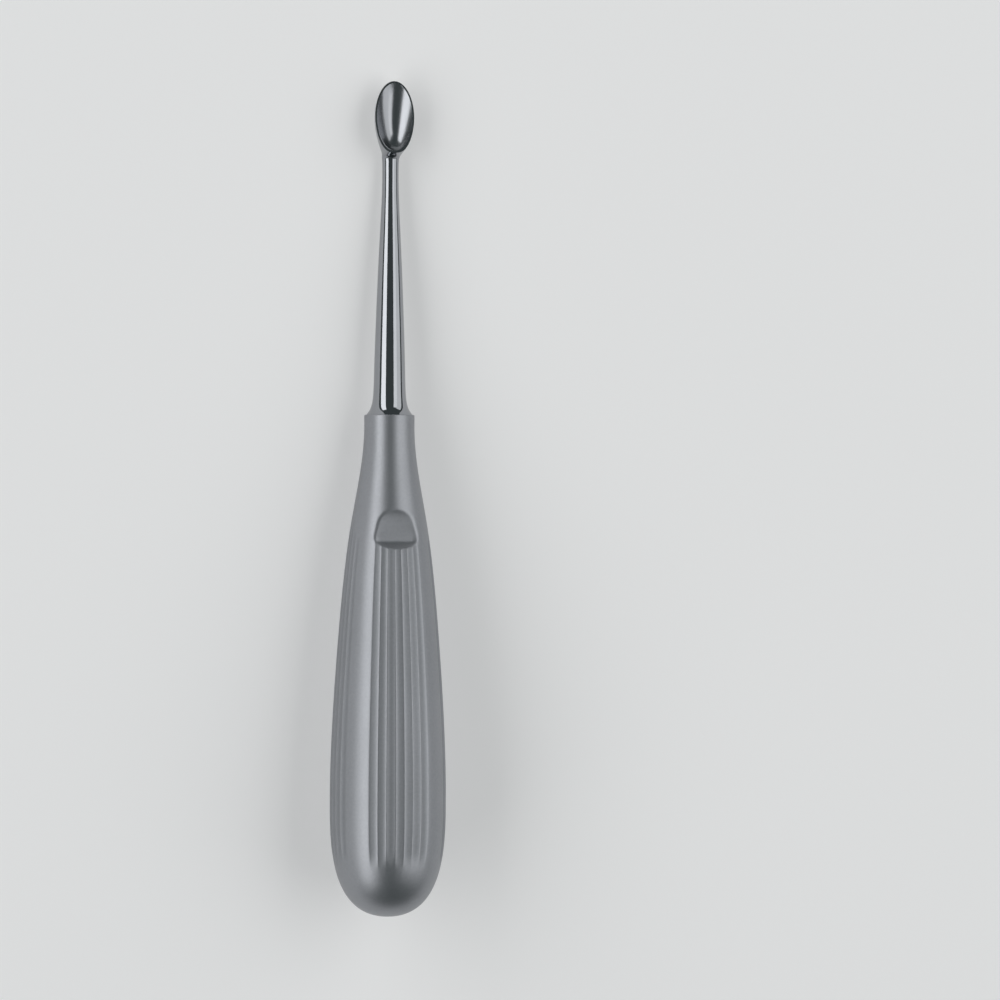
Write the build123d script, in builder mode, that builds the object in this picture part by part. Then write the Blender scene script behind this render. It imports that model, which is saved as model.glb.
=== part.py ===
"""Bone curette, 170 mm: a forged spoon and shank seated in a hollow, fluted steel handle.

Millimetres, +Z up. The instrument lies on its back as it would on a table, with the opening of
the cup and the thumb rest upwards and the cup towards +Y. The origin is on the table, under the
middle of its length.
"""
import os
from math import cos, radians, sin

from build123d import *

os.makedirs("parts", exist_ok=True)

# How the instrument lies: the back of the handle and the back of the cup both touch the table
LYING_ANGLE = 4.855         # slope of the long axis, down towards the cup, degrees
BUTT_Y = -84.770            # the handle's end on the long axis
BUTT_Z = 15.068             # height of that end above the table

# Stations are distances along the long axis from the handle's end
MOUTH = 102.2               # where the handle's neck ends and the collar sits on it
BELLY = 24.5                # the thickest place of the handle
BELLY_RADIUS = 11.82
NECK_RADIUS = 5.12
NECK_BAND = 99.8            # from here to the mouth the neck is turned to a true cylinder
BAND_STEP = 0.04            # by taking this much off its radius
FLANK = [(80.0, 7.74), (68.0, 9.32), (55.0, 10.44), (40.0, 11.38)]    # station, radius
DOME_SIDE = 8.5             # how far the side and the end of the dome run on before they turn
DOME_END = 12.2
WALL = 1.0                  # sheet thickness
MOUTH_EDGE = 0.2            # chamfer round the outside of the mouth

# Thumb rest: a flat pressed into the front of the handle, with a ledge at its lower end
LEDGE = 76.3
LEDGE_FLOOR = 6.05          # height of the flat above the axis, at the ledge
FLOOR_TILT = 5.6            # the flat rises towards the cup, degrees
REST_WIDTH = 9.0
REST_CORNER = 2.9
REST_REACH = 16.0           # beyond the place where the flat leaves the tapering handle
REST_HEIGHT = 4.5
LEDGE_SLOPE = 27.0

# Flutes: four groups of seven, at the front, back and sides, with plain lands between them
FLUTE_GROUPS = 4
FLUTES = 7
FLUTE_PITCH = 9.0           # degrees from one ridge to the next
FLUTE_DEPTH = 0.30          # at the belly; it shrinks with the handle's radius
FLUTE_TOP = 82.0            # where the middle flute of a group starts
FLUTE_TOP_STEP = 1.1        # each next flute starts this much lower
FLUTE_END = 10.0
FLUTE_RUN_OUT = 4.0         # length over which a flute comes to its full depth
# The handle's sections: shares of the way along the dome, then stations up to the mouth. They are
# close together where the flutes run out and where the dome turns.
DOME_SECTIONS = [0.97, 0.85, 0.68, 0.5]
SECTIONS = [14, 24.5, 45, 62, 74, 79, 84, 92, NECK_BAND, MOUTH]
INNER_FLANK = [0.25, 0.45, 0.65, 0.82]   # shares of the way along the inside, where it is creased
INNER_DOME = [0.3, 0.5, 0.7, 0.85]

# The collar flares out to meet the handle's mouth, the shank is a slender cone: station, radius
COLLAR = [(MOUTH, 4.75), (103.0, 4.15), (104.1, 3.68), (105.4, 3.43), (107.5, 3.28)]
SHANK = [(112.0, 3.16), (121.4, 2.86), (135.0, 2.31), (144.0, 1.86), (149.0, 1.69), (151.5, 1.67)]
TANG_RADIUS = NECK_RADIUS - WALL
TANG_END = 82.0
TANG_CHAMFER = 0.6

# Cup: half of an ellipsoid, hollow, with its heel drawn out into the neck
CUP_CENTRE = 162.6
CUP_HEIGHT = 3.9            # the middle of the rim is this far in front of the axis
CUP_LENGTH = 14.7
CUP_WIDTH = 8.1
CUP_DEPTH = 5.2
CUP_WALL = 0.6
RIM_TILT = 3.5              # the rim droops towards the tip, degrees
# station, half width, half height and middle height of the oval sections from neck to cup
HEEL = [
    (153.2, 1.73, 2.00, 0.32),
    (155.0, 2.00, 3.00, 1.40),
    (157.2, 2.98, 4.38, 3.00),
    (159.8, 3.74, 5.08, 3.66),
]
TIP_ANGLES = [0, 18, 36, 52, 66, 77, 85]    # the tip's sections, as angles of the ellipsoid
OVAL_POINTS = 16

# The instrument's own frame: x to the right, y along the axis towards the cup, z to the front
level = Plane(origin=(0, BUTT_Y, BUTT_Z))
tool = level.rotated((-LYING_ANGLE, 0, 0))
long_axis = Axis(tool.origin, tool.y_dir)
cup_place = Plane(
    origin=tool.from_local_coords((0, CUP_CENTRE, CUP_HEIGHT)), x_dir=tool.x_dir, z_dir=tool.z_dir
)
rim = cup_place.rotated((-RIM_TILT, 0, 0))


def meridian(angle):
    """A plane through the long axis: x is the radius, y the station; angle 0 is the front."""
    outward = tool.z_dir.rotate(long_axis, angle)
    return Plane(origin=tool.origin, x_dir=outward, z_dir=outward.cross(tool.y_dir))


def crosswise(station, height=0.0):
    """A plane across the long axis, facing the cup: x to the right, y to the front."""
    return Plane(origin=tool.from_local_coords((0, station, height)), x_dir=-tool.x_dir, z_dir=tool.y_dir)


def handle_outline(inset):
    """The flank and dome of the handle as radius over station, moved inwards by a wall."""
    flank = Spline(
        (NECK_RADIUS + BAND_STEP - inset, NECK_BAND),
        *[(radius - inset, station) for station, radius in FLANK],
        (BELLY_RADIUS - inset, BELLY),
        tangents=[(0, -1), (0, -1)],
    )
    dome = Bezier(
        flank @ 1,
        (BELLY_RADIUS - inset, BELLY - DOME_SIDE),
        (DOME_END - inset, inset),
        (0, inset),
    )
    return flank, dome


outer_flank, outer_dome = handle_outline(0)


def outer_radius(station):
    """Radius of the handle at a station before the band is turned, found on its outline by halving."""
    if station >= NECK_BAND:
        return NECK_RADIUS + BAND_STEP
    curve = outer_flank if station > BELLY else outer_dome
    low, high = 0.0, 1.0
    while high - low > 1e-5:
        middle = (low + high) / 2
        if (curve @ middle).Y > station:
            low = middle
        else:
            high = middle
    return (curve @ low).X


def rest_cutter(inset):
    """The thumb rest's flat and ledge as a solid to take away, grown by a wall."""
    corner = tool.from_local_coords((0, LEDGE, LEDGE_FLOOR - inset))
    flat = Plane(origin=corner, x_dir=tool.x_dir, z_dir=tool.z_dir).rotated((FLOOR_TILT, 0, 0))
    with BuildPart() as cutter:
        with BuildSketch(flat):
            with Locations((0, REST_REACH / 2 - inset)):
                Rectangle(REST_WIDTH + 2 * inset, REST_REACH)
            low_corners = vertices().group_by(Axis.Y)[0]
            fillet(low_corners, REST_CORNER + inset)
        extrude(amount=REST_HEIGHT + inset, taper=-LEDGE_SLOPE)
    return cutter.part


def flute_depth(station, place):
    """Depth at a station of the flute that is this many places from the middle of its group."""
    top = FLUTE_TOP - FLUTE_TOP_STEP * abs(place)
    run = min(station - FLUTE_END, top - station) / FLUTE_RUN_OUT
    run = min(max(run, 0), 1)
    return FLUTE_DEPTH * outer_radius(station) / BELLY_RADIUS * run * run * (3 - 2 * run)


def around(radius, angle):
    """A point of a cross-section; angle 0 is the front."""
    return radius * sin(radians(angle)), radius * cos(radians(angle))


def fluted_section(station):
    """The handle's outline at a station: four fluted stretches joined by plain lands."""
    radius = outer_radius(station)
    half_group = FLUTES * FLUTE_PITCH / 2
    quarter = 360 / FLUTE_GROUPS
    with BuildSketch(crosswise(station)) as outline:
        with BuildLine():
            for group in range(FLUTE_GROUPS):
                start = group * quarter - half_group
                for number in range(FLUTES):
                    ridge = start + number * FLUTE_PITCH
                    depth = flute_depth(station, number - FLUTES // 2)
                    Spline(
                        around(radius, ridge),
                        around(radius - depth, ridge + FLUTE_PITCH / 2),
                        around(radius, ridge + FLUTE_PITCH),
                    )
                ThreePointArc(
                    around(radius, start + 2 * half_group),
                    around(radius, start + half_group + quarter / 2),
                    around(radius, start + quarter),
                )
        make_face()
    return outline.sketch


def bowl(half_width, half_length, depth):
    """A whole ellipsoid in the cup's place, its widest level at the height of the rim."""
    with BuildPart() as form:
        Sphere(1)
        scale(by=(half_width, half_length, depth))
    return cup_place.location * form.part


def oval(station, half_width, half_height, height):
    """A cross-section of the shank, the neck or the cup."""
    turns = [radians(360 * number / OVAL_POINTS) for number in range(OVAL_POINTS)]
    with BuildSketch(crosswise(station, height)) as outline:
        with BuildLine():
            Spline(*[(half_width * cos(turn), half_height * sin(turn)) for turn in turns], periodic=True)
        make_face()
    return outline.sketch


def tip_oval(angle):
    """A cross-section of the tip half of the cup, an ellipsoid, at an angle from its middle."""
    station = CUP_CENTRE + CUP_LENGTH / 2 * sin(radians(angle))
    share = cos(radians(angle))
    return oval(station, CUP_WIDTH / 2 * share, CUP_DEPTH * share, CUP_HEIGHT)


# What is taken off the handle: its inside, of straight-sided stretches, and a ring round the neck
# that leaves the band and the chamfer of the mouth
with BuildPart() as hollow:
    inner_flank, inner_dome = handle_outline(WALL)
    creases = [inner_flank @ share for share in INNER_FLANK]
    creases += [inner_flank @ 1] + [inner_dome @ share for share in INNER_DOME]
    with BuildSketch(meridian(0)):
        Polygon(
            *creases,
            inner_dome @ 1,
            (0, MOUTH),
            (TANG_RADIUS, MOUTH),
            (TANG_RADIUS, NECK_BAND),
            align=None,
        )
    revolve(axis=long_axis)
    add(rest_cutter(WALL), mode=Mode.SUBTRACT)
    with BuildSketch(meridian(0)):
        Polygon(
            (NECK_RADIUS, NECK_BAND),
            (BELLY_RADIUS, NECK_BAND),
            (BELLY_RADIUS, MOUTH),
            (NECK_RADIUS - MOUTH_EDGE, MOUTH),
            (NECK_RADIUS, MOUTH - MOUTH_EDGE),
            align=None,
        )
    revolve(axis=long_axis)

# The handle is lofted in one run from the end of its dome to its mouth, then hollowed
with BuildPart() as handle_shell:
    stations = [(outer_dome @ share).Y for share in DOME_SECTIONS] + SECTIONS
    loft([fluted_section(station) for station in stations])
    add(rest_cutter(0) + hollow.part, mode=Mode.SUBTRACT)

# The forging: a turned tang, then collar, shank, neck and cup lofted in one run
with BuildPart() as spoon_shank:
    with BuildSketch(meridian(0)):
        Polygon(
            (0, TANG_END),
            (TANG_RADIUS - TANG_CHAMFER, TANG_END),
            (TANG_RADIUS, TANG_END + TANG_CHAMFER),
            (TANG_RADIUS, MOUTH),
            (0, MOUTH),
            align=None,
        )
    revolve(axis=long_axis)
    round_sections = [oval(station, radius, radius, 0) for station, radius in COLLAR + SHANK]
    loft(round_sections + [oval(*section) for section in HEEL] + [tip_oval(angle) for angle in TIP_ANGLES])
    add(bowl(CUP_WIDTH / 2 - CUP_WALL, CUP_LENGTH / 2 - CUP_WALL, CUP_DEPTH - CUP_WALL), mode=Mode.SUBTRACT)
    split(bisect_by=rim, keep=Keep.BOTTOM)

for name, piece in (("handle_shell", handle_shell), ("spoon_shank", spoon_shank)):
    piece.part.label = name
    export_step(piece.part, f"parts/{name}.step")
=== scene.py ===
# %% [markdown]
# # A bone curette, dressed for a studio picture
# The instrument is two pieces of stainless steel: a forged spoon on a slender polished shank, and a
# hollow fluted handle with a satin finish. It lies on its back on a pale floor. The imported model
# gives every size and place, so the finer meshes made here go exactly where its solids are.

# %% Load the frame
from math import cos, degrees, pi, radians, sin, tan

import bmesh
import bpy
import numpy as np
from mathutils import Matrix, Vector


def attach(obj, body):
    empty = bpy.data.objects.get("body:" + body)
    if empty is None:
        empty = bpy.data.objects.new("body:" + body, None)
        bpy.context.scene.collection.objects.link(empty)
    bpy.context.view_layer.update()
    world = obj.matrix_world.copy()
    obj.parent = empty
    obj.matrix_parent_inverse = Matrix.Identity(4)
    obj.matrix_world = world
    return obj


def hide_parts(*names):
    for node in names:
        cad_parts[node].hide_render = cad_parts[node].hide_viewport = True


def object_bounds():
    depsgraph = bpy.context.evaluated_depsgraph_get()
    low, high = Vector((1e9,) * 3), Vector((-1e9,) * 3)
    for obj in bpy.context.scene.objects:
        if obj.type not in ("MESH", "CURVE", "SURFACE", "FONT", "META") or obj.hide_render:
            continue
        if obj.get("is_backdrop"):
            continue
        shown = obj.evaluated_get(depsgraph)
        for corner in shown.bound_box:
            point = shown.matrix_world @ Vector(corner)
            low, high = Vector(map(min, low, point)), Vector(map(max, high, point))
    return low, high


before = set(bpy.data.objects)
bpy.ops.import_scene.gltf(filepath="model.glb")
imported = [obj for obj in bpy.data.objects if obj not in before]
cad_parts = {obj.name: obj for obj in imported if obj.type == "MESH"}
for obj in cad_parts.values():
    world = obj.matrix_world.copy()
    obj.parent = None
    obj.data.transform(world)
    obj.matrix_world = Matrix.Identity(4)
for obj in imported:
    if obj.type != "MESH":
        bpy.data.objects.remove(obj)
cad_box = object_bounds()
print("solids:", sorted(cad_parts))

# %% [markdown]
# ## Where the instrument lies
# All sizes below are in millimetres in the instrument's own frame: x to its right, y along the axis
# from the handle's end to the cup (a place on it is called a station), z out of its front. One
# matrix takes a finished mesh from there to its place on the floor, in metres.

# %% The instrument's own frame
LYING_ANGLE = radians(4.855)
BUTT = Vector((0, -84.770, 15.068))
lie_down = Matrix.Translation(BUTT) @ Matrix.Rotation(-LYING_ANGLE, 4, "X")
place_in_row = Matrix.Scale(0.001, 4) @ lie_down
print("axis direction:", tuple(round(c, 4) for c in (lie_down.to_3x3() @ Vector((0, 1, 0)))))


# %% [markdown]
# ## Smooth outlines from a few measured places
# A turned or forged outline has no kinks, and polished steel would show one as a break in its
# reflections. So an outline is a cubic curve through a few stations, whose slope and curvature both
# run on through every one of them.

# %% Cubic curves
def smooth_curve(stations, values, start_slope=None, end_slope=None):
    """A function of station through the given values; a slope that is None is left free."""
    x, y = np.array(stations, float), np.array(values, float)
    step = np.diff(x)
    rise = np.diff(y) / step
    system = np.zeros((len(x), len(x)))
    right = np.zeros(len(x))
    for i in range(1, len(x) - 1):
        system[i, i - 1 : i + 2] = step[i], 2 * (step[i - 1] + step[i]), step[i - 1]
        right[i] = 3 * (step[i] * rise[i - 1] + step[i - 1] * rise[i])
    for row, near, slope in ((0, 1, start_slope), (-1, -2, end_slope)):
        system[row, row] = 1 if slope is not None else 2
        if slope is None:
            system[row, near] = 1
            right[row] = 3 * rise[row]
        else:
            right[row] = slope
    slopes = np.linalg.solve(system, right)

    def value(at):
        at = np.asarray(at, float)
        i = np.clip(np.searchsorted(x, at) - 1, 0, len(step) - 1)
        u = (at - x[i]) / step[i]
        return (
            y[i] * (1 + 2 * u) * (1 - u) ** 2
            + y[i + 1] * u * u * (3 - 2 * u)
            + step[i] * (slopes[i] * u * (1 - u) ** 2 + slopes[i + 1] * u * u * (u - 1))
        )

    return value


# %% [markdown]
# ## The handle's form
# The handle is a long drop: a plain neck, a flank that swells to a belly near its far end, and a
# dome that closes it. Spinning an outline gives that form, and the same outline moved in by the
# sheet's thickness gives the inside, so the piece is the hollow shell that the real one is.

# %% Outline of the handle
MOUTH, NECK_BAND, NECK_RADIUS = 102.2, 99.8, 5.12
BELLY, BELLY_RADIUS = 24.5, 11.82
WALL, MOUTH_EDGE = 1.0, 0.2
DOME_SIDE, DOME_END = 8.5, 12.2
LEDGE = 76.3  # the thumb rest's lower end, where the rings lie closer

flank_radius = smooth_curve(
    [BELLY, 40, 55, 68, 80, NECK_BAND],
    [BELLY_RADIUS, 11.37, 10.40, 9.28, 7.74, NECK_RADIUS],
    start_slope=0,
    end_slope=0,
)


def dome_point(t, inset=0.0):
    """Radius and station on the dome's Bezier curve, t 0 at the belly and 1 at the handle's end."""
    corners = np.array(
        [(BELLY_RADIUS, BELLY), (BELLY_RADIUS, BELLY - DOME_SIDE), (DOME_END, 0), (0, 0)]
    )
    corners[:3, 0] -= inset
    corners[2:, 1] += inset
    weights = np.array([(1 - t) ** 3, 3 * t * (1 - t) ** 2, 3 * t * t * (1 - t), t**3])
    return tuple(weights @ corners)


def flank_points(first, last, count, inset=0.0):
    """Radius and station at even steps along the flank."""
    stations = np.linspace(first, last, count, endpoint=False)
    return [(float(flank_radius(s)) - inset, float(s)) for s in stations]


outside = [dome_point(t) for t in np.linspace(1, 0, 46, endpoint=False)[1:]]
outside += flank_points(BELLY, LEDGE - 2, 44)
outside += flank_points(LEDGE - 2, LEDGE + 2.6, 38)
outside += flank_points(LEDGE + 2.6, 93, 60)
outside += flank_points(93, NECK_BAND, 10)
outside += [(NECK_RADIUS, s) for s in np.linspace(NECK_BAND, MOUTH - 1.5 * MOUTH_EDGE, 6)]
outside += [
    (NECK_RADIUS - MOUTH_EDGE * (1 - cos(a)), MOUTH - MOUTH_EDGE * (1 - sin(a)))
    for a in np.linspace(0, pi / 2, 5)
]
inside = [(NECK_RADIUS - WALL, MOUTH), (NECK_RADIUS - WALL, NECK_BAND)]
inside += flank_points(BELLY, 97, 30, WALL)[::-1]
inside += [dome_point(t, WALL) for t in np.linspace(0, 1, 16)[1:-1]]
print("handle outline:", len(outside), "rings outside,", len(inside), "inside")

# %% [markdown]
# ## Spinning an outline into a mesh
# The flutes need fine faces across their ridges and the lands between them need fewer, so the spin
# takes its angles as a list instead of even steps. Both poles are closed with a fan.

# %% Spin
FLUTE_GROUPS, FLUTES, FLUTE_PITCH = 4, 7, 9.0
FLUTE_STEPS, LAND_STEPS = [0, 0.06, 0.16, 0.32, 0.5, 0.68, 0.84, 0.94], 20
quarter = 360 / FLUTE_GROUPS
half_group = FLUTES * FLUTE_PITCH / 2
spin_angles = []
for group in range(FLUTE_GROUPS):
    start = group * quarter - half_group
    spin_angles += [start + FLUTE_PITCH * (n + u) for n in range(FLUTES) for u in FLUTE_STEPS]
    land = np.linspace(start + 2 * half_group, start + quarter, LAND_STEPS, endpoint=False)
    spin_angles += list(land)


def mesh_of_rings(name, rings, first_pole, last_pole):
    """A closed mesh through rings of equally many points, its ends closed at two poles."""
    count = len(rings[0])
    points = [first_pole] + [p for ring in rings for p in ring] + [last_pole]
    faces = []
    for n in range(count):
        after = (n + 1) % count
        faces.append((0, 1 + after, 1 + n))
        for r in range(len(rings) - 1):
            low, high = 1 + r * count, 1 + (r + 1) * count
            faces.append((low + n, low + after, high + after, high + n))
        top = 1 + (len(rings) - 1) * count
        faces.append((top + n, top + after, len(points) - 1))
    mesh = bpy.data.meshes.new(name)
    mesh.from_pydata(points, [], faces)
    mesh.validate()
    work = bmesh.new()
    work.from_mesh(mesh)
    bmesh.ops.recalc_face_normals(work, faces=work.faces)
    work.to_mesh(mesh)
    work.free()
    return mesh


def spun_ring(radius, station):
    """One ring round the axis; angle 0 is the front."""
    return [(radius * sin(radians(a)), station, radius * cos(radians(a))) for a in spin_angles]


handle_mesh = mesh_of_rings(
    "handle_shell_plain",
    [spun_ring(*p) for p in outside + inside],
    (0, 0, 0),
    (0, WALL, 0),
)
skin = handle_mesh.attributes.new("outer_skin", "FLOAT", "POINT")
on_skin = np.zeros(len(handle_mesh.vertices), np.float32)
on_skin[: 1 + len(outside) * len(spin_angles)] = 1
skin.data.foreach_set("value", on_skin)
print("plain handle:", len(handle_mesh.polygons), "faces")


# %% [markdown]
# ## Writing node trees as sums
# Both the flutes and the finishes are formulas. A small class wraps a socket, so that a formula is
# written as Python writes it and each operator adds its Math node. Any other node comes from one
# function that takes its type, its settings and what goes into its sockets.

# %% Node helpers
class Num:
    """A socket that carries a number and can be used in sums."""

    def __init__(self, socket):
        self.socket = socket
        self.tree = socket.id_data

    def math(self, operation, *others, clamp=False):
        made = node(
            self.tree,
            "ShaderNodeMath",
            {"operation": operation, "use_clamp": clamp},
            dict(enumerate((self, *others))),
        )
        return Num(made.outputs[0])

    def __add__(self, other):
        return self.math("ADD", other)

    def __sub__(self, other):
        return self.math("SUBTRACT", other)

    def __rsub__(self, other):
        return (self * -1) + other

    def __mul__(self, other):
        return self.math("MULTIPLY", other)

    def __truediv__(self, other):
        return self.math("DIVIDE", other)

    def __pow__(self, other):
        return self.math("POWER", other)

    def __rtruediv__(self, other):
        return self.math("POWER", -1.0) * other

    def __lt__(self, other):
        return self.math("LESS_THAN", other)

    __radd__ = __add__
    __rmul__ = __mul__

    def clamped(self):
        return self.math("ADD", 0.0, clamp=True)


def node(tree, kind, settings=None, inputs=None):
    """A node of a kind: settings first, then each input as a value or as a link."""
    made = tree.nodes.new(kind)
    for name, value in (settings or {}).items():
        setattr(made, name, value)
    for key, value in (inputs or {}).items():
        socket = made.inputs[key]
        if isinstance(value, Num):
            value = value.socket
        if isinstance(value, bpy.types.NodeSocket):
            tree.links.new(value, socket)
        else:
            socket.default_value = value
    return made


# %% [markdown]
# ## Flutes
# Four groups of seven shallow grooves run along the handle, at its front, back and sides, with
# plain lands between the groups. Each is a scoop between two narrow ridges and fades out at both
# ends, and the middle ones of a group start a little higher than the outer ones. That is a rule, so
# a Geometry Nodes tree presses the grooves into the spun form. It also stores how deep each point
# lies, because the finish is rougher in the grooves and smoother on the ridges, and the grooves get
# painted shade in their colour.

# %% Flute tree
FLUTE_SIZES = {
    "Groups": float(FLUTE_GROUPS),
    "Flutes": float(FLUTES),
    "Pitch": FLUTE_PITCH,
    "Depth": 0.17,
    "Belly Radius": BELLY_RADIUS,
    "Ridge Softness": 0.10,
    "Top": 82.0,
    "Top Step": 1.1,
    "End": 10.0,
    "Run Out": 4.0,
}
flute_tree = bpy.data.node_groups.new("press_flutes", "GeometryNodeTree")
flute_tree.interface.new_socket("Geometry", in_out="INPUT", socket_type="NodeSocketGeometry")
for name in FLUTE_SIZES:
    flute_tree.interface.new_socket(name, in_out="INPUT", socket_type="NodeSocketFloat")
flute_tree.interface.new_socket("Finish", in_out="INPUT", socket_type="NodeSocketMaterial")
flute_tree.interface.new_socket("Geometry", in_out="OUTPUT", socket_type="NodeSocketGeometry")
given = node(flute_tree, "NodeGroupInput")
size = {name: Num(given.outputs[name]) for name in FLUTE_SIZES}

place = node(flute_tree, "GeometryNodeInputPosition")
split = node(flute_tree, "ShaderNodeSeparateXYZ", inputs={0: place.outputs[0]})
x, station, z = (Num(split.outputs[i]) for i in range(3))
radius = (x * x + z * z).math("SQRT").math("MAXIMUM", 0.001)
angle = x.math("ARCTAN2", z) * degrees(1)
# how far from the middle of its own group a point is, counted in flutes
half_quarter = 180 / size["Groups"]
from_middle = angle.math("WRAP", half_quarter, half_quarter * -1) / size["Pitch"]
count_across = from_middle + size["Flutes"] / 2
number = count_across.math("FLOOR")
across = count_across - number
in_group = from_middle.math("ABSOLUTE") < size["Flutes"] / 2
scoop = across * (1 - across) * 4
soft = size["Ridge Softness"]
deepest = (soft * soft + 1).math("SQRT") - soft
groove = ((scoop * scoop + soft * soft).math("SQRT") - soft) / deepest
flute_place = (number - (size["Flutes"] - 1) / 2).math("ABSOLUTE")
top = size["Top"] - size["Top Step"] * flute_place
run = ((station - size["End"]).math("MINIMUM", top - station) / size["Run Out"]).clamped()
fade = run * run * (3 - run * 2)
outer = node(
    flute_tree, "GeometryNodeInputNamedAttribute", {"data_type": "FLOAT"}, {"Name": "outer_skin"}
)
pressed = groove * fade * in_group * Num(outer.outputs["Attribute"])
depth = pressed * size["Depth"] * radius / size["Belly Radius"]
inwards = depth / radius * -1
shift = node(
    flute_tree, "ShaderNodeCombineXYZ", inputs={0: x * inwards, 1: 0.0, 2: z * inwards}
)
moved = node(
    flute_tree,
    "GeometryNodeSetPosition",
    inputs={"Geometry": given.outputs["Geometry"], "Offset": shift.outputs[0]},
)
stored = node(
    flute_tree,
    "GeometryNodeStoreNamedAttribute",
    {"data_type": "FLOAT", "domain": "POINT"},
    {"Geometry": moved.outputs[0], "Name": "groove", "Value": pressed},
)
realized = node(
    flute_tree, "GeometryNodeRealizeInstances", inputs={"Geometry": stored.outputs[0]}
)
finished = node(
    flute_tree,
    "GeometryNodeSetMaterial",
    inputs={"Geometry": realized.outputs[0], "Material": given.outputs["Finish"]},
)
node(flute_tree, "NodeGroupOutput", inputs={0: finished.outputs[0]})
print("flute tree:", len(flute_tree.nodes), "nodes")


# %% [markdown]
# ## Satin steel
# The handle is blasted with fine glass beads after fluting, which leaves an even, silky grey: a
# metal with a broad soft gloss and a grain too small to see from afar. Hands polish the ridges a
# little, the grooves stay rougher, and a few hairline marks run every way. All of it goes into the
# roughness, the colour and a very small bump. The grooves are also painted darker, as painted
# shade of their hollows.

# %% Satin finish
def new_material(name):
    """A material with an empty tree but for its output."""
    material = bpy.data.materials.new(name)
    material.use_nodes = True
    material.node_tree.nodes.clear()
    return material, material.node_tree


def noise(tree, where, scale, detail=2.0, roughness=0.5, seed=0.0):
    """Smooth noise from 0 to 1."""
    made = node(
        tree,
        "ShaderNodeTexNoise",
        {"noise_dimensions": "4D"},
        {"Vector": where, "W": seed, "Scale": scale, "Detail": detail, "Roughness": roughness},
    )
    return Num(made.outputs[0])


def along_instrument(tree, stretch=(1, 1, 1)):
    """Object coordinates turned to lie along the instrument, and stretched."""
    coordinates = node(tree, "ShaderNodeTexCoord")
    turned = node(
        tree,
        "ShaderNodeMapping",
        inputs={
            "Vector": coordinates.outputs["Object"],
            "Rotation": (LYING_ANGLE, 0, 0),
            "Scale": stretch,
        },
    )
    return turned.outputs[0]


def mixed(tree, factor, one, other):
    """A colour between two, by a number."""
    made = node(
        tree,
        "ShaderNodeMix",
        {"data_type": "RGBA"},
        {"Factor": factor, 6: one, 7: other},
    )
    return made.outputs[2]


def hairlines(tree, turn, scale, seed):
    """Sparse fine scratches in one direction, 1 on a scratch."""
    coordinates = node(tree, "ShaderNodeTexCoord")
    turned = node(
        tree,
        "ShaderNodeMapping",
        inputs={
            "Vector": coordinates.outputs["Object"],
            "Rotation": turn,
            "Scale": (scale, scale * 0.03, scale),
        },
    )
    lines = noise(tree, turned.outputs[0], 1.0, 1.0, 0.4, seed)
    patches = noise(tree, coordinates.outputs["Object"], 160.0, 1.0, 0.5, seed + 7)
    return ((lines - 0.70) * 14).clamped() * ((patches - 0.5) * 5).clamped()


satin, tree = new_material("satin_steel")
grain_place = along_instrument(tree)
groove_depth = Num(
    node(tree, "ShaderNodeAttribute", {"attribute_name": "groove"}).outputs["Fac"]
)
clouds = noise(tree, grain_place, 55.0, 3.0, 0.6, 1.0)
grain = noise(tree, grain_place, 5200.0, 2.0, 0.6, 2.0)
pits = noise(tree, grain_place, 1900.0, 1.0, 0.5, 3.0)
marks = hairlines(tree, (0.5, 0.1, 0.7), 5200.0, 4.0)
marks = marks + hairlines(tree, (0.1, 0.6, -0.5), 5600.0, 5.0)
roughness = 0.44 + groove_depth * 0.20 + (clouds - 0.5) * 0.06 + (grain - 0.5) * 0.06 - marks * 0.08
# random cloudy tone and pits, plus painted shade: the colour darkens with the square of the groove
# depth
tone_and_groove_shade = (0.25 + (clouds - 0.5) * 0.4 + (pits - 0.5) * 0.6 + groove_depth ** 2 * 0.20).clamped()
colour = mixed(tree, tone_and_groove_shade, (0.355, 0.361, 0.386, 1), (0.262, 0.275, 0.285, 1))
bump = node(
    tree,
    "ShaderNodeBump",
    inputs={
        "Strength": 0.35,
        "Distance": 0.00002,
        "Height": grain * 0.7 + pits * 0.5 - marks * 0.6,
    },
)
steel = node(
    tree,
    "ShaderNodeBsdfPrincipled",
    inputs={
        "Base Color": colour,
        "Metallic": 1.0,
        "Roughness": roughness,
        "Normal": bump.outputs[0],
    },
)
node(tree, "ShaderNodeOutputMaterial", inputs={"Surface": steel.outputs[0]})
print("satin steel:", len(tree.nodes), "nodes")

# %% Press the flutes
plain = bpy.data.objects.new("handle_plain", handle_mesh)
bpy.context.scene.collection.objects.link(plain)
modifier = plain.modifiers.new("flutes", "NODES")
modifier.node_group = flute_tree
for item in flute_tree.interface.items_tree:
    if item.in_out == "INPUT" and item.name in FLUTE_SIZES:
        modifier[item.identifier] = FLUTE_SIZES[item.name]
    if item.in_out == "INPUT" and item.name == "Finish":
        modifier[item.identifier] = satin
evaluated = plain.evaluated_get(bpy.context.evaluated_depsgraph_get())
fluted_mesh = bpy.data.meshes.new_from_object(evaluated)
bpy.data.objects.remove(plain)
print("fluted handle:", len(fluted_mesh.vertices), "points")

# %% [markdown]
# ## Thumb rest
# At the top of the front flutes a flat is pressed into the sheet: an arched floor, nearly level,
# that curls up where it runs out towards the cup, and a steep ledge across its lower end that the
# thumb pushes against. The press moves points straight in, down to the floor or the wall of its
# die, and a soft minimum rounds the edges as bent sheet does. The inside of the wall is pressed
# down by the same die, and the grooves' rougher finish and painted shade fade where the floor has
# wiped them out.

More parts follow.
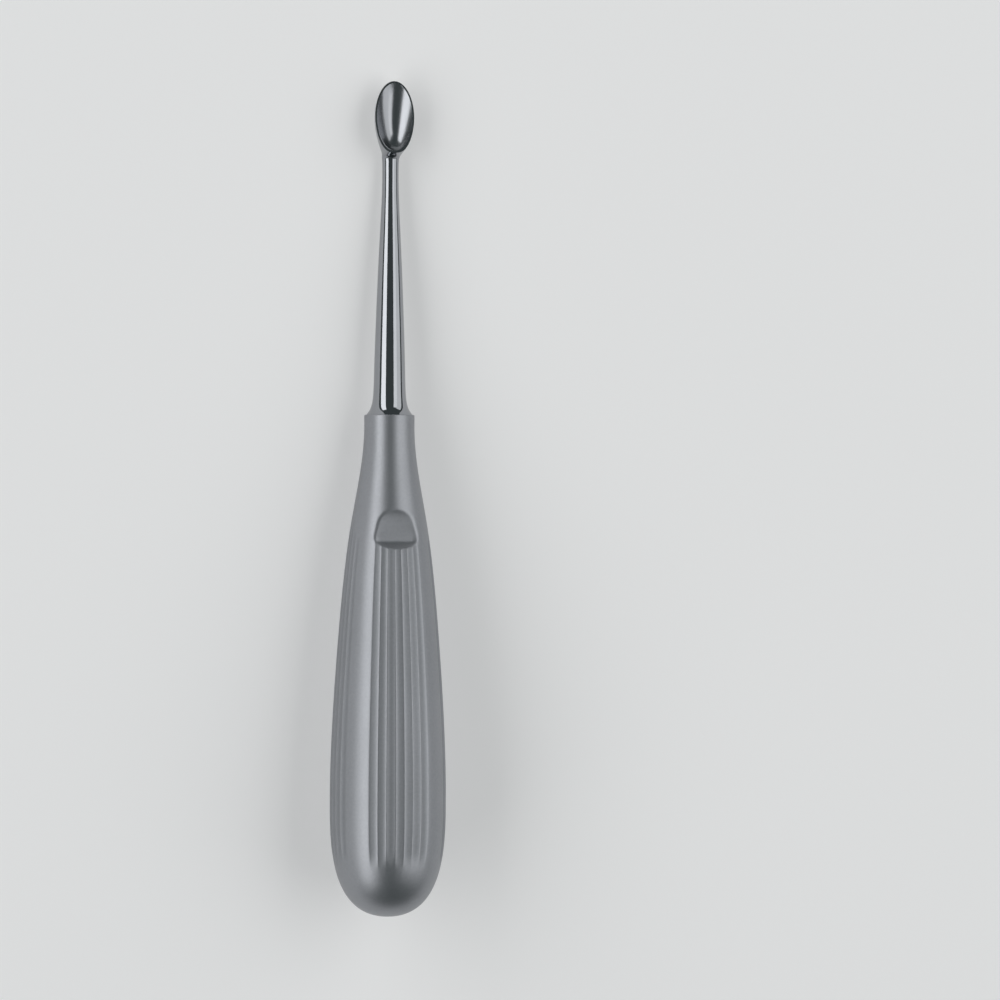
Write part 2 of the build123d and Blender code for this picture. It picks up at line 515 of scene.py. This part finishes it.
# %% Press the thumb rest
LEDGE_FLOOR, FLOOR_TILT = 6.66, radians(-0.6)
REST_WIDTH, REST_CORNER, LEDGE_SLOPE = 10.4, 2.0, radians(40)
END_ROUNDING, SIDE_ROUNDING, FOOT_ROUNDING = 0.16, 0.45, 0.60
CURL_START, CURL = 80.3, 0.085
REACH_BELOW, REACH_TOP, GROOVE_FADE = 4, 95, 0.3


def die_height(x, station):
    """Height of the pressing die over the instrument's axis."""
    along = LEDGE + REST_CORNER - station
    side = np.abs(x) - (REST_WIDTH / 2 - REST_CORNER)
    round_part = np.hypot(np.maximum(side, 0), np.maximum(along, 0))
    beyond = np.where(along > 0, round_part + np.minimum(np.maximum(side, along), 0), side)
    beyond = beyond - REST_CORNER
    lifted = (beyond + np.hypot(beyond, FOOT_ROUNDING)) / 2
    floor = LEDGE_FLOOR + (station - LEDGE) * tan(FLOOR_TILT)
    floor = floor + CURL * np.maximum(station - CURL_START, 0) ** 2
    return floor + lifted / tan(LEDGE_SLOPE)


def soft_minimum(a, b, rounding):
    """The lower of two heights, blended where they are close."""
    share = np.clip(0.5 + 0.5 * (b - a) / rounding, 0, 1)
    return a * share + b * (1 - share) - rounding * share * (1 - share)


points = np.empty(len(fluted_mesh.vertices) * 3, np.float32)
fluted_mesh.vertices.foreach_get("co", points)
points = points.reshape(-1, 3)
is_outer = np.arange(len(points)) < 1 + len(outside) * len(spin_angles)
reach = (points[:, 2] > 0) & (points[:, 1] > LEDGE - REACH_BELOW) & (points[:, 1] < REACH_TOP)
faded = np.ones(len(points), np.float32)
for skin_points, lowered in ((reach & is_outer, 0.0), (reach & ~is_outer, WALL)):
    x_here, s_here, z_here = points[skin_points].T
    sideways = np.clip(np.abs(x_here) / (REST_WIDTH / 2), 0, 1) ** 2
    rounding = END_ROUNDING + (SIDE_ROUNDING - END_ROUNDING) * sideways
    pressed_to = soft_minimum(z_here, die_height(x_here, s_here) - lowered, rounding)
    points[skin_points, 2] = np.minimum(z_here, pressed_to)
    faded[skin_points] = np.clip(1 - (z_here - points[skin_points, 2]) / GROOVE_FADE, 0, 1)
fluted_mesh.vertices.foreach_set("co", points.ravel())
# the groove depth drives the rougher finish and the painted shade in the grooves; both fade on the
# pressed floor
grooves = np.empty(len(points), np.float32)
fluted_mesh.attributes["groove"].data.foreach_get("value", grooves)
fluted_mesh.attributes["groove"].data.foreach_set("value", grooves * faded)
fluted_mesh.transform(place_in_row)
fluted_mesh.polygons.foreach_set("use_smooth", [True] * len(fluted_mesh.polygons))
fluted_mesh.set_sharp_from_angle(angle=radians(50))
fluted_mesh.update()

handle = bpy.data.objects.new("handle_shell_fluted", fluted_mesh)
bpy.context.scene.collection.objects.link(handle)
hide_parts("handle_shell")
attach(handle, "root")
print("thumb rest pressed")

# %% [markdown]
# ## Spoon and shank
# One forging: a tang inside the handle, a collar that flares out to the handle's mouth, a slender
# tapering shank, and a neck that spreads into the heel of an oval cup. Every cross-section is an
# oval, so the body is a skin over ovals whose width, height and middle follow smooth curves.

# %% Ovals from the tang to the tip
CUP_CENTRE, CUP_HEIGHT, CUP_LENGTH, CUP_WIDTH, CUP_DEPTH = 162.6, 3.9, 14.7, 8.1, 5.174
RIM_WALL, BOWL_DEPTH, RIM_TILT = 0.35, 2.2, radians(3.5)
TANG_END, TANG_CHAMFER, TANG_RADIUS, TANG_CENTRE = 82.0, 0.6, NECK_RADIUS - WALL, 1.5
# station and radius where the forging is round
ROUND = [
    (MOUTH, 4.75), (103.0, 4.15), (104.1, 3.68), (105.4, 3.43), (107.5, 3.28), (112.0, 3.16),
    (121.4, 2.86), (135.0, 2.31), (144.0, 1.86), (149.0, 1.69), (151.5, 1.67),
]
# station, half the width, half the height and the middle's height where it spreads into the cup
HEEL = [
    (153.0, 1.68, 1.69, 0.00),
    (154.0, 1.72, 1.71, 0.01),
    (154.6, 1.80, 1.85, 0.18),
    (155.0, 1.90, 2.38, 0.74),
    (155.5, 2.12, 3.24, 1.64),
    (156.5, 2.66, 4.06, 2.60),
    (157.6, 3.14, 4.58, 3.18),
    (159.8, 3.76, 5.08, 3.66),
    (CUP_CENTRE, CUP_WIDTH / 2, CUP_DEPTH, CUP_HEIGHT),
]
knots = [s for s, r in ROUND] + [row[0] for row in HEEL]
half_width = smooth_curve(knots, [r for s, r in ROUND] + [row[1] for row in HEEL], end_slope=0)
half_height = smooth_curve(knots, [r for s, r in ROUND] + [row[2] for row in HEEL], end_slope=0)
middle = smooth_curve(knots, [0.0] * len(ROUND) + [row[3] for row in HEEL], end_slope=0)
COLLAR_END, HEEL_START = 107.5, ROUND[-1][0]
OVAL_STEPS = 144


def oval(station, wide, high, centre):
    """One ring of the forging."""
    steps = np.linspace(0, 2 * pi, OVAL_STEPS, endpoint=False)
    return [(wide * sin(a), station, centre + high * cos(a)) for a in steps]


rings = [oval(TANG_END, r, r, 0) for r in (TANG_CENTRE, TANG_RADIUS - TANG_CHAMFER)]
rings += [oval(TANG_END + TANG_CHAMFER, TANG_RADIUS, TANG_RADIUS, 0)]
rings += [oval(MOUTH, TANG_RADIUS, TANG_RADIUS, 0)]
stations = np.concatenate([
    np.linspace(MOUTH, COLLAR_END, 34, endpoint=False),
    np.linspace(COLLAR_END, HEEL_START, 60, endpoint=False),
    np.linspace(HEEL_START, CUP_CENTRE, 72, endpoint=False),
])
rings += [oval(s, half_width(s), half_height(s), middle(s)) for s in stations]
for turn in np.linspace(0, pi / 2, 40, endpoint=False):
    station, share = CUP_CENTRE + CUP_LENGTH / 2 * sin(turn), cos(turn)
    rings.append(oval(station, CUP_WIDTH / 2 * share, CUP_DEPTH * share, CUP_HEIGHT))
forging = mesh_of_rings(
    "forging", rings, (0, TANG_END, 0), (0, CUP_CENTRE + CUP_LENGTH / 2, CUP_HEIGHT)
)
print("forging:", len(rings), "ovals")

# %% [markdown]
# ## Cutting the cup open
# The whole forging is closed over the cup, as the real blank is. A tilted plane cuts it open, and
# the bowl is an even round hollow that starts inside a narrow rim. A Boolean would leave slivers
# that show in polished steel, so the rim is bridged to a ring of the bowl, and the bowl's
# own rings run down from there to its lowest point.

# %% Cut, rim and bowl
work = bmesh.new()
work.from_mesh(forging)
in_bowl = work.verts.layers.float.new("bowl")
rim_middle = Vector((0, CUP_CENTRE, CUP_HEIGHT))
rim_normal = Vector((0, sin(RIM_TILT), cos(RIM_TILT)))
cup_faces = [f for f in work.faces if f.calc_center_median().y > HEEL_START]
cup_geometry = cup_faces + list({e for f in cup_faces for e in f.edges})
cup_geometry += list({v for f in cup_faces for v in f.verts})
bmesh.ops.bisect_plane(
    work, geom=cup_geometry, dist=1e-5, plane_co=rim_middle, plane_no=rim_normal, clear_outer=True
)
outer_edge = [e for e in work.edges if e.is_boundary]
inner_axes = np.array([CUP_WIDTH / 2 - RIM_WALL, CUP_LENGTH / 2 - RIM_WALL, BOWL_DEPTH])
to_right = np.array([1.0, 0, 0])
to_tip = np.array([0, cos(RIM_TILT), -sin(RIM_TILT)]) / inner_axes
to_tip /= np.linalg.norm(to_tip)
to_bottom = np.cross(to_tip, to_right)
BOWL_STEPS, BOWL_RINGS, LIP, EDGE_TURN = OVAL_STEPS, 40, 0.05, 0.012


def bowl_point(turn, down, grow=0.0):
    """A point of the bowl: turn goes round the rim, down goes from the rim to the bottom."""
    flat = cos(turn) * to_right + sin(turn) * to_tip
    return (inner_axes + grow) * (cos(down) * flat + sin(down) ** 2 * to_bottom)


round_the_rim = np.linspace(0, 2 * pi, BOWL_STEPS, endpoint=False)
bowl_rings = []
for step in range(-1, BOWL_RINGS):
    on_rim = step < 0
    down = 0 if on_rim else EDGE_TURN + (pi / 2 - EDGE_TURN) * step / BOWL_RINGS
    grow = LIP if on_rim else 0
    bowl_rings.append(
        [work.verts.new(rim_middle + Vector(bowl_point(a, down, grow))) for a in round_the_rim]
    )
bottom = work.verts.new(rim_middle + Vector(bowl_point(0, pi / 2)))
for v in sum(bowl_rings[2:], [bottom]):
    v[in_bowl] = 1
for upper, lower in zip(bowl_rings, bowl_rings[1:]):
    for n in range(BOWL_STEPS):
        after = (n + 1) % BOWL_STEPS
        work.faces.new((upper[n], upper[after], lower[after], lower[n]))
for n in range(BOWL_STEPS):
    work.faces.new((bowl_rings[-1][n], bowl_rings[-1][(n + 1) % BOWL_STEPS], bottom))
inner_edge = [
    next(e for e in v.link_edges if e.other_vert(v) is bowl_rings[0][(n + 1) % BOWL_STEPS])
    for n, v in enumerate(bowl_rings[0])
]
bmesh.ops.bridge_loops(work, edges=outer_edge + inner_edge)
bmesh.ops.recalc_face_normals(work, faces=work.faces)
open_edges = sum(1 for e in work.edges if not e.is_manifold)
work.to_mesh(forging)
work.free()
print("cup cut open:", len(outer_edge), "edges round the outside, open edges left:", open_edges)

# %% [markdown]
# ## Polished steel
# The spoon and shank are polished with a fine belt and a buff. They mirror the room, but not
# perfectly: the buff leaves hair-thin lines that run along the shank, a faint haze in patches, and
# small handling marks. It reaches the bowl less well, so that stays a little duller.

# %% Mirror finish
mirror, tree = new_material("polished_steel")
line_place = along_instrument(tree, (3200, 45, 3200))
buff_lines = noise(tree, line_place, 1.0, 2.0, 0.6, 11.0)
whole = along_instrument(tree)
haze = noise(tree, whole, 210.0, 3.0, 0.6, 12.0)
marks = hairlines(tree, (0.4, 0.3, 1.1), 6500.0, 13.0)
marks = marks + hairlines(tree, (0.2, 0.8, 0.3), 6000.0, 14.0)
bowl = Num(node(tree, "ShaderNodeAttribute", {"attribute_name": "bowl"}).outputs["Fac"])
roughness = 0.06 + bowl * 0.16 + (haze - 0.5) * 0.05 + (buff_lines - 0.5) * 0.05 + marks * 0.12
colour = mixed(
    tree,
    (0.5 + (haze - 0.5) * 0.6 + (buff_lines - 0.5) * 0.3 + marks * 0.3).clamped(),
    (0.365, 0.371, 0.396, 1),
    (0.30, 0.312, 0.325, 1),
)
bump = node(
    tree,
    "ShaderNodeBump",
    inputs={"Strength": 0.25, "Distance": 0.000012, "Height": buff_lines * 0.8 - marks * 0.7},
)
steel = node(
    tree,
    "ShaderNodeBsdfPrincipled",
    inputs={
        "Base Color": colour,
        "Metallic": 1.0,
        "Roughness": roughness,
        "Normal": bump.outputs[0],
    },
)
node(tree, "ShaderNodeOutputMaterial", inputs={"Surface": steel.outputs[0]})
print("polished steel:", len(tree.nodes), "nodes")

# %% Spoon in its place
forging.transform(place_in_row)
forging.polygons.foreach_set("use_smooth", [True] * len(forging.polygons))
forging.set_sharp_from_angle(angle=radians(35))
forging.materials.append(mirror)
forging.update()
spoon = bpy.data.objects.new("spoon_shank_polished", forging)
bpy.context.scene.collection.objects.link(spoon)
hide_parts("spoon_shank")
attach(spoon, "root")
print("spoon:", len(forging.polygons), "faces")

# %% [markdown]
# ## Floor
# A plain pale sheet, large enough that a low view still ends on it. Its slight unevenness keeps the
# shadow from looking drawn. A quarter of white is mixed in for the camera and in reflections, which
# lightens the ground without more light on the steel.

# %% Floor
FLOOR_REACH, WHITE_SHARE = 8.0, 0.25
floor_stuff, tree = new_material("pale_sheet")
coordinates = node(tree, "ShaderNodeTexCoord")
tone = noise(tree, coordinates.outputs["Object"], 3.0, 3.0, 0.5, 21.0)
fibre = noise(tree, coordinates.outputs["Object"], 900.0, 2.0, 0.6, 22.0)
colour = mixed(
    tree, (0.5 + (tone - 0.5) * 0.5).clamped(), (0.90, 0.90, 0.90, 1), (0.88, 0.88, 0.885, 1)
)
bump = node(
    tree, "ShaderNodeBump", inputs={"Strength": 0.1, "Distance": 0.0001, "Height": fibre}
)
sheet = node(
    tree,
    "ShaderNodeBsdfPrincipled",
    inputs={"Base Color": colour, "Roughness": 0.75, "Normal": bump.outputs[0]},
)
seen = node(tree, "ShaderNodeLightPath")
seen_rays = [Num(seen.outputs[f"Is {kind} Ray"]) for kind in ("Camera", "Glossy", "Transmission")]
white = node(tree, "ShaderNodeEmission", inputs={"Color": (1, 1, 1, 1), "Strength": 1.0})
lifted = node(
    tree,
    "ShaderNodeMixShader",
    inputs={
        0: (seen_rays[0] + seen_rays[1] + seen_rays[2]).clamped() * WHITE_SHARE,
        1: sheet.outputs[0],
        2: white.outputs[0],
    },
)
node(tree, "ShaderNodeOutputMaterial", inputs={"Surface": lifted.outputs[0]})
floor_mesh = bpy.data.meshes.new("floor")
corners = [(-1, -1), (1, -1), (1, 1), (-1, 1)]
floor_mesh.from_pydata(
    [(a * FLOOR_REACH, b * FLOOR_REACH, 0) for a, b in corners], [], [(0, 1, 2, 3)]
)
floor_mesh.materials.append(floor_stuff)
floor = bpy.data.objects.new("floor", floor_mesh)
bpy.context.scene.collection.objects.link(floor)
floor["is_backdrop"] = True
print("floor:", 2 * FLOOR_REACH, "m wide")

# %% [markdown]
# ## Studio light
# Round polished steel shows its whole surroundings as stripes, so the lights are long soft boxes
# that run along the instrument. Left of it hangs a long bright one, right of it a shorter one with
# a dimmer one below it, and between them, round the camera, the room stays dark. That dark gap
# makes the dark stripe down the middle of the shank.

# %% Lamps and room
world = bpy.data.worlds.new("studio")
bpy.context.scene.world = world
world.use_nodes = True
room = world.node_tree.nodes["Background"]
room.inputs["Color"].default_value = (0.092, 0.108, 0.108, 1)
room.inputs["Strength"].default_value = 1.0
LAMP_DISTANCE = 1.25


def soft_box(name, first, last, foot, head, brightness):
    """A box seen from the instrument between two angles from straight up, right positive.

    It runs along the instrument from foot to head, also angles from straight up.
    """
    middle_angle = radians((first + last) / 2)
    width = 2 * LAMP_DISTANCE * tan(radians(abs(last - first)) / 2)
    near, far = (LAMP_DISTANCE * tan(radians(a)) for a in (foot, head))
    lamp = bpy.data.lights.new(name, "AREA")
    lamp.shape = "RECTANGLE"
    lamp.size, lamp.size_y = width, far - near
    # the power that gives this brightness over this area
    lamp.energy = brightness * pi * width * (far - near)
    holder = bpy.data.objects.new(name, lamp)
    across, up = LAMP_DISTANCE * sin(middle_angle), LAMP_DISTANCE * cos(middle_angle)
    holder.location = (across, (near + far) / 2, up)
    holder.rotation_euler = (0, middle_angle, 0)
    holder.visible_camera = False
    bpy.context.scene.collection.objects.link(holder)
    print(name, "width", round(width, 2), "m, power", round(lamp.energy, 1), "W")


soft_box("left_box", -74, -40, -42, 60, 2.1)
soft_box("right_box", 18, 42, -27, 45, 1.5)
soft_box("right_low_box", 42, 76, -30, 50, 1.1)

# %% [markdown]
# ## Camera
# A long lens looks straight at the instrument's front, a little from its left, so its length is
# not foreshortened. The picture is 203.7 mm wide at the instrument's axis.

# %% Camera
PICTURE_WIDTH = 203.71
LENS, SENSOR = 200.0, 36.0
TURN, LEAN = radians(13.5), radians(0.24)
AIM_STATION, AIM_RIGHT = 84.85, 22.6
to_camera = Vector((-sin(TURN), 0, cos(TURN)))
image_up = Vector((0, 1, 0))
image_right = image_up.cross(to_camera)
leaned_up = image_up * cos(LEAN) - image_right * sin(LEAN)
leaned_right = leaned_up.cross(to_camera)
away = PICTURE_WIDTH * LENS / SENSOR
aim = Vector((0, AIM_STATION, 0)) + leaned_right * AIM_RIGHT
turn_matrix = Matrix((leaned_right, leaned_up, to_camera)).transposed()
spot = place_in_row @ (aim + to_camera * away)
turned = (lie_down.to_3x3() @ turn_matrix).to_4x4()
lens_data = bpy.data.cameras.new("camera")
lens_data.lens, lens_data.sensor_width = LENS, SENSOR
lens_data.clip_start, lens_data.clip_end = 0.05, 50
camera = bpy.data.objects.new("camera", lens_data)
camera.matrix_world = Matrix.Translation(spot) @ turned
bpy.context.scene.collection.objects.link(camera)
bpy.context.scene.camera = camera
bpy.context.scene.view_settings.view_transform = "Standard"
print("camera:", tuple(round(c, 3) for c in spot))

# %% Sizes, and the end
visual_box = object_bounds()
for name, box in (("solids", cad_box), ("picture model", visual_box)):
    print(name, [[round(1000 * c, 3) for c in corner] for corner in box])
